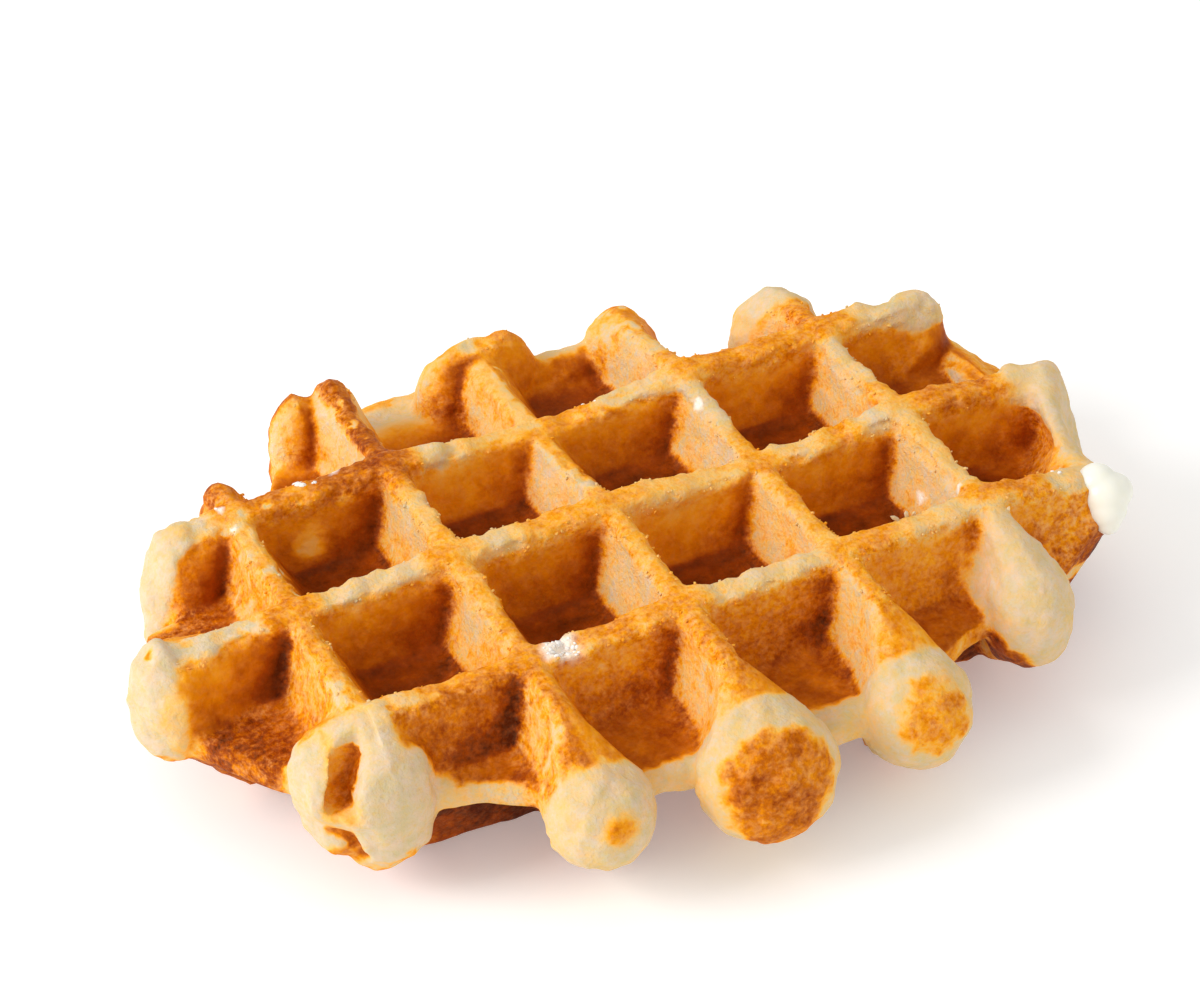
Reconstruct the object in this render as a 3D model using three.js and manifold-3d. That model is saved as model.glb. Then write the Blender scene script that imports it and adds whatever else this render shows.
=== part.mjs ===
// A Liege waffle: one oval piece of sugared yeast dough, pressed between two hot plates of
// square pegs. The pegs leave pockets on both faces, with a thin web between an upper and a
// lower pocket and ribs between neighbouring pockets. The dough stops short of the plates'
// rim, so each rib runs out past the web and ends in a free, rounded lobe.
//
// Millimetres, +Z up. The waffle lies flat: X runs along its length, Y across it.
import * as THREE from "three";
import { mergeVertices } from "three/addons/utils/BufferGeometryUtils.js";
import Module from "manifold-3d";

// ---- The plates ----
const pitch = 20; // one rib to the next, both ways
const thickness = 25; // between the two plates
const middle = thickness / 2; // height of the web's mid-plane
const webThickness = 3.4; // dough left between an upper and a lower pocket

// ---- A rib's section: widths at four heights, the same above and below the mid-plane ----
const crestWidth = { alongX: 4.2, alongY: 3.0 }; // at the plate's face
const crestLean = { alongX: 0, alongY: -0.6 }; // an upper crest stands this far right of its foot
const shoulder = 0.7; // rounding of the crest's two edges
const footWidth = 7.0; // where the wall starts to flare into the web
const footHeight = 3.4; // and how far that is from the mid-plane
const rootWidth = 10.4; // at the mid-plane

// The crests stand off the plates' nominal faces, because the waffle warps a little as it
// cools and the dough fills the lower plate less well towards the rim. One list for each rib
// that runs along X, front to back, with one value for each rib that runs along Y, left to
// right. Upwards is positive in both.
const upperLift = [
  [-0.5, -1.0, 0, 0, 0.5, -2.0],
  [0, 1.0, 1.0, -0.5, 1.0, 0],
  [0.5, 1.0, -1.5, 1.0, 0.8, 1.5],
  [0, 0, -1.2, -1.2, -0.5, 0],
];
const lowerLift = [
  [2.5, 1.6, 0, 0, 1.5, 6.5],
  [1.5, 0, 0, 0, 0, 2.0],
  [1.0, 0, 0, 0, 0, 1.0],
  [2.0, 1.5, 1.5, 1.5, 2.0, 3.0],
];
const crestSag = 0.6; // an upper crest's dip half-way between two crossings
const crossStep = 0.2; // ribs along Y fall short of both plates by this much more

// ---- The ribs ----
// `from` and `to` are the tips of a rib's two end lobes, with the front left crossing at 0, 0.
// Each lobe has a half-width, the heights of its underside and of its top over the lower
// plate, and the length over which the rib swells into it. `drop` lowers a rib's upper crest.
const ribs = [
  // Along X, front to back. The back one is broken into two stubs and a low remnant.
  { from: [-9.6, 0], to: [98.8, 0], start: lobe(6.4, 5.2, 23.4), end: lobe(4.2, 13.4, 23.4) },
  { from: [-21.4, 20], to: [102.6, 20], start: lobe(5.8, 8.5, 25.6), end: lobe(4.6, 3, 25.4) },
  { from: [-13, 40], to: [98.2, 40], start: lobe(6, 2, 25), end: lobe(4.6, 2, 26, 5) },
  { from: [11, 60], to: [24, 60], start: lobe(4.4, 2.5, 24.2, 5), end: lobe(4, 3, 22) },
  { from: [31, 60], to: [48.5, 60], start: lobe(4.4, 3, 23), end: lobe(3.8, 4, 23.6, 4) },
  { from: [44, 60], to: [60, 60], drop: 6.5, start: lobe(3.6, 5, 18), end: lobe(3.6, 5, 18) },
  // Along Y, left to right. The right-hand one leans inwards and has a low remnant behind it.
  { from: [0, -8.8], to: [0, 48.4], start: lobe(6.6, 3.4, 23.4), end: lobe(4.5, 1.5, 25.6, 4) },
  { from: [20.4, -22.4], to: [20, 63.5], start: lobe(6.5, 5.9, 19.7), end: lobe(4.4, 1.5, 25.4, 5) },
  { from: [40, -26.5], to: [40, 63], start: lobe(8.6, 4.2, 21.6), end: lobe(4.8, 2, 23) },
  { from: [60.4, -23.6], to: [60, 64.6], start: lobe(6.9, 4.9, 20.1), end: lobe(5.6, 2, 22.8) },
  { from: [80, -15.4], to: [79.5, 58.4], start: lobe(5.2, 6.2, 21.2), end: lobe(6.5, 2.5, 23.6) },
  { from: [93, -1], to: [100.4, 23.6], start: lobe(4.2, 10, 22.6, 5), end: lobe(4.6, 2, 25.6, 5) },
  { from: [99.4, 22], to: [97.6, 42], drop: 7.5, start: lobe(3.6, 5, 17.5), end: lobe(3.6, 5, 17.5) },
];

// The web's own edge, counter-clockwise from the front left: it bays inwards between two lobes.
const webEdge = [
  [-8.6, 4], [2, -5], [10, -7.5], [20, -14], [29, -15.5], [40, -18], [51, -17.5], [60, -16],
  [72, -10], [80, -8.5], [88, -4.5], [93, -2.6], [97.5, 0.8], [101, 6], [102, 18], [101, 30],
  [100, 38], [95, 44], [82, 47], [72, 47], [64, 54], [52, 62], [40, 64], [34, 66], [28, 66.5],
  [20, 63], [12, 59], [6, 52], [-2, 47], [-12.4, 41], [-15, 34], [-17.2, 29], [-18.5, 20],
  [-15.2, 13.6], [-12.8, 9.4],
];

// The pocket at the front left corner came out as no more than a slit: the peg's corner only.
const slit = { x: -4.6, y: -6.6, width: 3.6, length: 11.2, depth: 9.8, taper: 0.78 };

// ---- Meshing ----
const profilePoints = 16; // points round a rib's section
const stationSpacing = pitch / 3; // sections along a rib
const capSteps = 4; // rings over a lobe's rounded tip
const webEdgeSteps = 88;
const webEdgeRound = 1.2;

function lobe(halfWidth, underside, top, blend = 7) {
  return { halfWidth, underside, top, blend };
}

const mix = THREE.MathUtils.lerp;
const smooth = (t) => THREE.MathUtils.smoothstep(t, 0, 1);

const wasm = await Module();
wasm.setup();

// A closed geometry as a solid that can be joined and cut. Triangles that collapse at a pole
// when their corners are merged are left out.
function toSolid(geometry) {
  const bare = geometry.clone();
  bare.deleteAttribute("normal");
  bare.deleteAttribute("uv");
  const merged = mergeVertices(bare, 1e-4);
  const corners = merged.index.array;
  const kept = [];
  for (let i = 0; i < corners.length; i += 3) {
    const [a, b, c] = corners.slice(i, i + 3);
    if (a !== b && b !== c && c !== a) kept.push(a, b, c);
  }
  return new wasm.Manifold(
    new wasm.Mesh({
      numProp: 3,
      vertProperties: merged.attributes.position.array,
      triVerts: new Uint32Array(kept),
    }),
  );
}

function toGeometry(solid) {
  const mesh = solid.getMesh();
  const geometry = new THREE.BufferGeometry();
  geometry.setAttribute("position", new THREE.Float32BufferAttribute(mesh.vertProperties, 3));
  geometry.setIndex(new THREE.Uint32BufferAttribute(mesh.triVerts, 1));
  geometry.computeVertexNormals();
  return geometry;
}

// The section of a rib between two heights, as points [sideways, height], clockwise from the
// middle of the upper crest: a flat crest with rounded shoulders, a wall that leans out to its
// foot and flares into the web, and the same again below. Above its foot the rib leans.
function ribSection(underside, top, way) {
  const halfCrest = crestWidth[way] / 2;
  const foot = middle + footHeight;
  const right = [
    [halfCrest - shoulder, top],
    [halfCrest, top - shoulder],
    [footWidth / 2, foot],
    [rootWidth / 2, middle],
    [footWidth / 2, middle - footHeight],
    [halfCrest, underside + shoulder],
    [halfCrest - shoulder, underside],
  ];
  const left = right.map(([side, height]) => [-side, height]).reverse();
  const points = [[0, top], ...right, [0, underside], ...left];
  const leant = (height) => THREE.MathUtils.clamp((height - foot) / (top - foot), 0, 1) * crestLean[way];
  return points.map(([side, height]) => [side + leant(height), height]);
}

// The same points on a rounder section, for a lobe.
function lobeSection({ halfWidth, underside, top }) {
  const centre = (top + underside) / 2;
  const halfHeight = (top - underside) / 2;
  return Array.from({ length: profilePoints }, (_, index) => {
    const angle = (index / profilePoints) * 2 * Math.PI;
    return [halfWidth * Math.sin(angle), centre + halfHeight * Math.cos(angle)];
  });
}

// The value of a table with one entry for each crossing, at any place in plan.
function atCrossings(table, x, y) {
  const column = THREE.MathUtils.clamp(x / pitch, 0, table[0].length - 1);
  const row = THREE.MathUtils.clamp(y / pitch, 0, table.length - 1);
  const left = Math.min(Math.floor(column), table[0].length - 2);
  const front = Math.min(Math.floor(row), table.length - 2);
  const alongX = (line) => mix(line[left], line[left + 1], smooth(column - left));
  return mix(alongX(table[front]), alongX(table[front + 1]), smooth(row - front));
}

// A dip of 1 half-way between two crossings and of 0 at each of them.
const dip = (along) => Math.sin((Math.PI * along) / pitch) ** 2;

// One rib with its two lobes. It starts as a capsule along Y whose skin is pushed out to the
// rib's section along its length, and to the rounder section where it swells into a lobe.
function rib({ from, to, start, end, drop = 0 }) {
  const way = new THREE.Vector2(to[0] - from[0], to[1] - from[1]);
  const bodyLength = way.length() - start.halfWidth - end.halfWidth;
  way.normalize();
  const direction = Math.abs(way.y) > Math.abs(way.x) ? "alongY" : "alongX";
  const step = Math.abs(way.y) * crossStep;
  const stations = Math.max(2, Math.round(bodyLength / stationSpacing));
  const capsule = new THREE.CapsuleGeometry(1, 1, capSteps, profilePoints, stations);
  const place = capsule.attributes.position;
  for (let i = 0; i < place.count; i += 1) {
    const turn = Math.atan2(place.getX(i), place.getZ(i)) / (2 * Math.PI);
    const point = (Math.round(turn * profilePoints) + profilePoints) % profilePoints;
    const share = THREE.MathUtils.clamp(place.getY(i) + 0.5, 0, 1);
    const beyond = place.getY(i) + 0.5 - share; // past the body, from -1 to 1
    const near = share < 0.5 ? start : end;
    const along = start.halfWidth + bodyLength * share + beyond * near.halfWidth;
    const x = from[0] + way.x * along;
    const y = from[1] + way.y * along;

    const underside = atCrossings(lowerLift, x, y) + step;
    const lift = atCrossings(upperLift, x, y) - crestSag * (dip(x) + dip(y));
    const body = ribSection(underside, thickness + lift - drop - step, direction)[point];
    const round = lobeSection(near)[point];
    const inward = bodyLength * (share < 0.5 ? share : 1 - share);
    const swell = 1 - smooth(inward / near.blend);
    const across = Math.hypot(place.getX(i), place.getZ(i)); // falls to 0 at the lobe's tip
    const centre = mix(middle, (near.top + near.underside) / 2, swell);
    const side = mix(body[0], round[0], swell) * across;
    const height = centre + (mix(body[1], round[1], swell) - centre) * across;
    place.setXYZ(i, x + way.y * side, y - way.x * side, height);
  }
  return toSolid(capsule);
}

// The thin floor between the upper and lower pockets, with a rounded edge.
function web() {
  const corners = webEdge.map(([x, y]) => new THREE.Vector3(x, y, 0));
  const edge = new THREE.CatmullRomCurve3(corners, true).getPoints(webEdgeSteps).slice(0, -1);
  const outline = new THREE.Shape(edge.map((point) => new THREE.Vector2(point.x, point.y)));
  const plate = new THREE.ExtrudeGeometry(outline, {
    depth: webThickness - 2 * webEdgeRound,
    bevelThickness: webEdgeRound,
    bevelSize: webEdgeRound,
    bevelOffset: -webEdgeRound,
    bevelSegments: 2,
  });
  return toSolid(plate.translate(0, 0, middle - webThickness / 2 + webEdgeRound));
}

// The peg's corner that makes the slit: a square frustum, narrow end down.
function slitPeg() {
  const across = Math.SQRT2 / 2; // a four-sided cylinder's flats are this share of its radius
  const peg = new THREE.CylinderGeometry(across, across * slit.taper, slit.depth, 4);
  peg.rotateX(Math.PI / 2).rotateZ(Math.PI / 4).scale(slit.width, slit.length, 1);
  return toSolid(peg.translate(slit.x, slit.y, thickness - slit.depth / 2));
}

const joined = ribs.map(rib).reduce((whole, next) => whole.add(next), web());
const geometry = toGeometry(joined.subtract(slitPeg()));
geometry.computeBoundingBox();
const centre = geometry.boundingBox.getCenter(new THREE.Vector3());
geometry.translate(-centre.x, -centre.y, 0);

const waffle = new THREE.Mesh(
  geometry,
  new THREE.MeshStandardMaterial({ color: 0xd48a35, roughness: 0.6, metalness: 0 }),
);
waffle.name = "waffle";

const part = new THREE.Group();
part.add(waffle);

export default part;
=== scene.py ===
# A Liege waffle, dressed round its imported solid. Metres, +Z up, lying flat.
import math
import random

import bmesh
import bpy
import numpy as np
from mathutils import Matrix, Vector, noise
from mathutils.bvhtree import BVHTree
from mathutils.kdtree import KDTree


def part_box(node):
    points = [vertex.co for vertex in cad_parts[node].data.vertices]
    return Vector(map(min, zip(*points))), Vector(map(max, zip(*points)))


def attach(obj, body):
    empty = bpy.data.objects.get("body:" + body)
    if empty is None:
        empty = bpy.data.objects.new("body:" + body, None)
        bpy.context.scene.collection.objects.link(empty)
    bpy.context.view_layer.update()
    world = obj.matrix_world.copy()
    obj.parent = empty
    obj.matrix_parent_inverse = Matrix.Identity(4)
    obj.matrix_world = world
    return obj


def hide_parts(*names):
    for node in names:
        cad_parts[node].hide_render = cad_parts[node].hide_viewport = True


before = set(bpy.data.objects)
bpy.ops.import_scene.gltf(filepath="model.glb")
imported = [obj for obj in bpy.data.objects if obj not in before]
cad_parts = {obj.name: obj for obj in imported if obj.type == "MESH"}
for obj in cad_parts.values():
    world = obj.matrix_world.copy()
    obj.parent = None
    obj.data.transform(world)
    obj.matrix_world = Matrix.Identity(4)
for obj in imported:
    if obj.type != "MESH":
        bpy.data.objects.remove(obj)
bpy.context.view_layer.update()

# ---- The crust ----
# A Liege waffle takes its form from two hot cast plates with square pegs, closed on a ball of
# sugared dough. It is baked hard only at its skin, so every edge that the plates leave is a
# little round, torn crests are rough and the free ends at the rim are lumpy.
MM = 0.001
pitch = 20 * MM  # of the pegs: a rib's crossings are a whole number of pitches apart
low, high = [Vector(corner_shade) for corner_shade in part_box("waffle")]
first_crossing = low + Vector((21.4 * MM, 26.5 * MM, 0))  # the front left one
middle = low.z + 12.5 * MM  # height of the web between the upper and lower pockets
face_size = 0.46 * MM  # of the fine skin
most_triangles = 196000  # of the finished skin


def on_grid(across, back, above_web=0.0):
    """A place so many pitches along and back, and so many metres over the web."""
    x, y = first_crossing.x + across * pitch, first_crossing.y + back * pitch
    return Vector((x, y, middle + above_web))


def grid_of(places):
    """Pitches along and back from the first crossing, and millimetres over the web."""
    along = (places[:, 0] - first_crossing.x) / pitch
    behind = (places[:, 1] - first_crossing.y) / pitch
    return along, behind, (places[:, 2] - middle) / MM


def ramp(start, end, value):
    """0 at start, 1 at end, smooth between."""
    share = np.clip((value - start) / (end - start), 0, 1)
    return share * share * (3 - 2 * share)


def lumps(places, size, seed):
    """A smooth random value from -1 to 1 at every place, with lumps of that size."""
    return np.array([noise.noise(Vector(place)) for place in places / size + seed])


def near(places, centre, radius):
    """1 at the centre, 0 at a radius from it."""
    return 1 - ramp(0, radius, np.linalg.norm(places - np.array(centre), axis=1))


def settle(piece):
    """The piece's modifiers become its mesh."""
    finished = piece.evaluated_get(bpy.context.evaluated_depsgraph_get())
    mesh = bpy.data.meshes.new_from_object(finished)
    piece.modifiers.clear()
    piece.data = mesh


def read(piece):
    """The places and normals of a piece's vertices, as rows."""
    count = len(piece.data.vertices)
    places, normals = np.empty((count, 3)), np.empty((count, 3))
    piece.data.vertices.foreach_get("co", places.ravel())
    piece.data.vertex_normals.foreach_get("vector", normals.ravel())
    return places, normals


# Toast runs from 0, raw dough, to 1, dark caramel. Each rib has a list of (pitches along it,
# toast) for its upper crest: dough browns where it touched a plate, and stays pale where it
# tore away.
toast_along = {
    0: [(-0.45, 0.03), (-0.1, 0.08), (0.05, 0.15), (0.12, 0.2), (0.2, 0.12), (0.7, 0.3),
        (0.95, 0.45), (1.08, 0.5), (1.14, 0.0), (1.32, 0.1), (1.45, 0.45), (1.9, 0.45),
        (2.05, 0.3), (2.15, 0.12), (2.85, 0.14), (3.05, 0.45), (3.3, 0.5), (3.38, 0.32),
        (3.5, 0.2), (3.8, 0.2), (3.93, 0.45), (4.1, 0.55), (4.36, 0.5), (4.48, 0.2),
        (4.9, 0.15)],
    1: [(-1.1, 0.0), (-0.8, 0.0), (-0.3, 0.03), (-0.2, 0.5), (0.05, 0.5), (0.15, 0.12),
        (0.7, 0.15), (0.85, 0.4), (0.97, 0.38), (1.04, 0.15), (1.3, 0.17), (1.42, 0.34),
        (1.6, 0.4), (2.0, 0.45), (2.1, 0.3), (2.85, 0.25), (3.0, 0.45), (3.1, 0.2), (3.3, 0.15),
        (3.55, 0.5), (3.75, 0.1), (3.95, 0.15), (4.1, 0.5), (4.6, 0.55), (4.75, 0.15),
        (5.1, 0.05)],
    2: [(-0.65, 0.0), (-0.4, 0.03), (-0.2, 0.12), (-0.1, 0.35), (0.0, 0.35), (0.1, 0.65),
        (0.4, 0.45), (0.6, 0.65), (1.0, 0.68), (1.12, 0.45), (1.2, 0.12), (1.42, 0.14),
        (1.5, 0.32), (1.9, 0.36), (2.0, 0.4), (2.05, 0.6), (2.3, 0.62), (2.4, 0.1), (2.9, 0.2),
        (3.0, 0.46), (3.9, 0.46), (4.12, 0.42), (4.26, 0.15), (4.8, 0.06)],
    3: [(0.5, 0.7), (1.0, 0.7), (1.2, 0.05), (1.55, 0.08), (1.75, 0.4), (1.93, 0.35),
        (1.98, 0.03), (2.06, 0.05), (2.14, 0.5), (2.35, 0.5), (2.5, 0.1), (3.0, 0.3)],
}
toast_back = {
    0: [(-0.4, 0.0), (-0.15, 0.06), (0.0, 0.16), (0.12, 0.4), (0.5, 0.42), (1.0, 0.45),
        (1.4, 0.4), (1.6, 0.3), (1.9, 0.3), (2.1, 0.65), (2.4, 0.7)],
    1: [(-1.1, 0.05), (-0.75, 0.1), (-0.6, 0.45), (-0.1, 0.5), (0.0, 0.45), (0.15, 0.35),
        (0.5, 0.3), (0.8, 0.35), (1.0, 0.42), (1.15, 0.4), (1.3, 0.28), (1.6, 0.3), (1.8, 0.5),
        (2.0, 0.7), (2.6, 0.66), (3.1, 0.7)],
    2: [(-1.3, 0.1), (-0.9, 0.12), (-0.8, 0.45), (-0.1, 0.5), (0.1, 0.42), (0.3, 0.32),
        (0.9, 0.38), (1.1, 0.35), (1.25, 0.08), (1.7, 0.1), (1.85, 0.4), (2.0, 0.45),
        (2.2, 0.42), (2.5, 0.25), (3.1, 0.3)],
    3: [(-1.2, 0.08), (-0.8, 0.08), (-0.7, 0.42), (-0.1, 0.42), (0.1, 0.35), (0.4, 0.35),
        (0.9, 0.4), (1.3, 0.3), (1.5, 0.1), (1.85, 0.15), (2.0, 0.5), (2.2, 0.42), (2.35, 0.15),
        (2.6, 0.35), (2.9, 0.5), (3.2, 0.35)],
    4: [(-0.75, 0.05), (-0.08, 0.08), (0.04, 0.5), (0.2, 0.2), (0.9, 0.3), (1.0, 0.45),
        (1.2, 0.4), (1.4, 0.2), (1.8, 0.15), (2.0, 0.5), (2.2, 0.5), (2.4, 0.45), (2.5, 0.05),
        (2.9, 0.05)],
    5: [(0.0, 0.08), (1.15, 0.05), (1.3, 0.4), (2.0, 0.4)],
}


def toast_of_crests(places):
    """The toast of the ribs' crests nearby, and how far away the nearest rib of each way is."""
    across, back, _ = grid_of(places)
    shift = 0.05 * lumps(places, 2.5 * MM, 43)
    total, claims, distances = 0, 0, []
    # Ribs along X are told apart by how far back they are, ribs along Y by how far along.
    two_ways = [(toast_along, back, 3, across), (toast_back, across, 5, back)]
    for toast_lists, ribs_at, last, stretch in two_ways:
        nearest = np.round(np.clip(ribs_at, 0, last))
        distance = np.abs(ribs_at - nearest) * pitch / MM
        toast = np.zeros(len(places))
        for rib, stops in toast_lists.items():
            here = nearest == rib
            toast[here] = np.interp((stretch + shift)[here], *zip(*stops))
        claim = 1.02 - ramp(1.5, 4.5, distance)  # at a crossing both ribs have a say
        total, claims = total + claim * toast, claims + claim
        distances.append(distance)
    return total / claims, *distances


def freed(places):
    """1 where the dough swelled past the outermost pegs, 0 between them."""
    along, behind, above = grid_of(places)
    waver = 0.035 * lumps(places, 3 * MM, 61) + 0.02 * lumps(places, 1.1 * MM, 62)
    past_front = ramp(0.0, 0.06, -behind + waver - np.interp(above, [2, 9], [0.66, 0.78]))
    past_left = ramp(0.78, 0.84, -along + waver)
    past_right = ramp(0.0, 0.06, along + waver - np.interp(above, [1, 8, 9.5], [5.0, 5.0, 4.7]))
    past_right *= ramp(0.04, 0.12, behind)
    past_back = ramp(0.0, 0.07, behind + waver - np.interp(along, [2.2, 2.4], [3.0, 2.91]))
    # The front left corner has no more than one crossing, so it swelled about that.
    front_slab = ramp(0.2, 0.27, -behind + waver) * ramp(0.42, 0.32, along + waver)
    left_slab = ramp(0.36, 0.42, -along + waver) * ramp(0.3, 0.2, behind)
    corner_top = ramp(0.13, 0.07, along + waver) * ramp(0.12, 0.05, behind + waver)
    # So did the back left one, whose end reaches half way to the next crossing, the front
    # right one, which no peg reached, and the back right one.
    back_left_edge = np.interp(above, [4, 6, 10, 12], [0.55, 0.5, 0.42, 0.26])
    back_left = ramp(0.0, 0.06, -along + waver - back_left_edge) * ramp(1.6, 1.66, behind)
    front_right = ramp(0.13, 0.2, -behind + waver) * ramp(3.7, 3.76, along + waver)
    front_right *= ramp(4.35, 4.3, along) * ramp(-3.4, -2.0, above)
    back_right = ramp(2.38, 2.46, behind + waver) * ramp(3.5, 3.6, along)
    ends = [past_front, past_left, past_right, past_back, front_slab, left_slab, corner_top]
    ends += [back_left, front_right, back_right]
    return np.max(ends, axis=0)


def puffed_at(places):
    """How many millimetres the web rose between the pegs: more in the back row of pockets."""
    across, back, _ = grid_of(places)
    rise = np.interp(back, [-0.5, 0.2, 0.8, 1.2, 2.0, 2.8], [0.3, 1.2, 1.2, 1.9, 1.9, 0.8])
    back_left_floor = ramp(0, -0.4, across) * ramp(1.0, 1.3, back) * ramp(1.8, 1.7, back)
    # The two lobes at the left end don't rise.
    on_lobes = ramp(-0.5, -0.6, across) * ramp(1.66, 1.76, back)
    on_lobes += ramp(-0.8, -0.9, across) * ramp(1.3, 1.2, back)
    return (rise + 0.7 * back_left_floor) * ramp(5.0, 4.8, across) * (1 - np.clip(on_lobes, 0, 1))


def hollow_at(places):
    """How many millimetres more it rose along the foot of each rib, so the foot is a hollow."""
    across, back, _ = grid_of(places)
    from_line = np.minimum(np.abs(across - np.round(across)), np.abs(back - np.round(back)))
    from_rib = from_line * pitch / MM
    rise = 1.1 * np.clip((6.8 - from_rib) / 3.2, 0, 1) ** 2
    # Not past the web's ends, nor at the front left corner.
    rise *= ramp(-0.8, -0.5, back) * ramp(3.1, 2.9, back)
    rise *= ramp(-0.75, -0.5, across) * ramp(4.85, 4.7, across)
    return rise * np.maximum(ramp(0.05, 0.2, across), ramp(-0.1, 0.1, back))


# The corner has a slit, where no peg reached. It turns to the left towards its front, and leans.
def slit_frame(places):
    """Millimetres from the slit's middle, and back from the first crossing."""
    along, behind, _ = grid_of(places)
    return along * pitch / MM + 4.6, behind * pitch / MM


def slit_shift(along_slit, above):
    """How many millimetres the slit's middle moved to the right."""
    turned = np.interp(along_slit, [-12, -6.6, -1], [-1.6, -0.2, 1.0])
    leaned = np.interp(above, [4.5, 9.5], [-1.4, 0.4])
    return turned + leaned


# Lobes that met the plates' rim, flatter and browner there: (pitches along, pitches back, mm
# over the web, facing, mm from there to the flat, how much flatter, toast).
pressed_faces = [
    (2.0, -0.895, 0.4, (-0.15, -0.93, 0.3), 5.2, 0.4, 0.62),
    (3.02, -0.835, 0.0, (-0.06, -0.91, 0.38), 5.5, 0.3, 0.48),
]


def past_flat(places, along, behind, over, facing, out):
    """Millimetres past the flat of a pressed face, below 0 inside it, and the way it faces."""
    facing = np.array(facing) / np.linalg.norm(facing)
    offset = (places - np.array(on_grid(along, behind, over * MM))) / MM
    past = offset @ facing - out
    on_its_lobe = np.linalg.norm(offset, axis=1) < 12
    return np.where(on_its_lobe, past, -9), facing


crust = bpy.data.objects.new("crust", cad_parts["waffle"].data.copy())
bpy.context.collection.objects.link(crust)
dough = bmesh.new()
dough.from_mesh(crust.data)
bmesh.ops.remove_doubles(dough, verts=dough.verts, dist=0.001 * MM)
dough.to_mesh(crust.data)
dough.free()
remesh = crust.modifiers.new("fine skin", "REMESH")
remesh.mode = "VOXEL"
remesh.voxel_size = face_size
relax = crust.modifiers.new("baked round", "SMOOTH")
relax.factor = 0.5
relax.iterations = 2
settle(crust)

places, normals = read(crust)
# The slit is wider at its front, turned and leaning.
above = grid_of(places)[2]
from_slit, along_slit = slit_frame(places)
by_slit = ramp(5.0, 2.6, np.abs(from_slit)) * ramp(-16, -13, along_slit) * ramp(3, 0, along_slit)
by_slit *= ramp(0, 3, above)
widened = np.interp(along_slit, [-9, -3], [0.24, 0.14])
places[:, 0] += by_slit * from_slit * widened * MM
places[:, 0] += by_slit * slit_shift(along_slit, above) * MM
# The last rib's left wall in the pocket before it is steeper at its foot.
across, back, above = grid_of(places)
steeper = ramp(4.6, 4.7, across) * ramp(5.06, 5.0, across)
steeper = steeper * ramp(0.08, 0.3, back) * ramp(0.92, 0.75, back)
steeper *= np.clip(-normals[:, 0] * 1.5, 0, 1) * ramp(12.5, 5, above) * ramp(0, 1.5, above)
places[:, 0] += 2.4 * MM * steeper
for along, behind, over, facing, out, flatter, _ in pressed_faces:
    past, facing = past_flat(places, along, behind, over, facing, out)
    places -= facing * (np.maximum(past, 0) * flatter * MM)[:, None]
# The web's upper face rises with what stands on it, less and less up to the crests.
above = grid_of(places)[2]
lift = (puffed_at(places) + hollow_at(places)) * ramp(-0.5, -0.1, normals[:, 2])
places[:, 2] += lift * MM * ramp(9.8, 1.7, above) * ramp(0, 1.2, above)

# How uneven the skin is: shares from 0 to 1.
across, _, above = grid_of(places)
free = freed(places)
free_left = free * ramp(-0.5, -0.7, across)
crest = ramp(9.5, 11.5, np.abs(above))
crest_edge = crest * ramp(0.97, 0.7, np.abs(normals[:, 2])) * (1 - 0.6 * free)
torn = ramp(0.34, 0.14, toast_of_crests(places)[0]) * ramp(9.5, 11.5, above) * (1 - free)
sugar_torn = ramp(0.1, 0.5, near(places, on_grid(1.18, 0.0, 12.0 * MM), 4.6 * MM))
crisp = np.clip(-normals[:, 0] * 1.3, 0, 1) * ramp(2, 4, np.abs(above))
rough = 0.25 + 0.75 * np.max([crest, free, 0.6 * crisp], axis=0)
# (share, how high its lumps are in mm, how long in mm, seed)
unevenness = [
    (free, 0.3, 8, 3), (free, 0.22, 4.5, 5), (free, 0.14, 2.1, 7), (free_left, 0.5, 3.4, 9),
    (1, 0.2, 7, 11), (rough, 0.24, 3, 23), (rough, 0.18, 1.5, 31), (rough, 0.09, 0.9, 37),
    (crest_edge, 0.4, 2.7, 33), (crest_edge, 0.35, 1.3, 35), (torn, 0.35, 3.6, 38),
    (torn, 0.22, 1.7, 39), (sugar_torn, 0.7, 1.8, 51), (sugar_torn, 0.5, 1.0, 52),
]
swelling = 0.15 * free - 0.15 - 0.25 * torn
for share, height, length, seed in unevenness:
    swelling = swelling + share * height * lumps(places, length * MM, seed)
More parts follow.
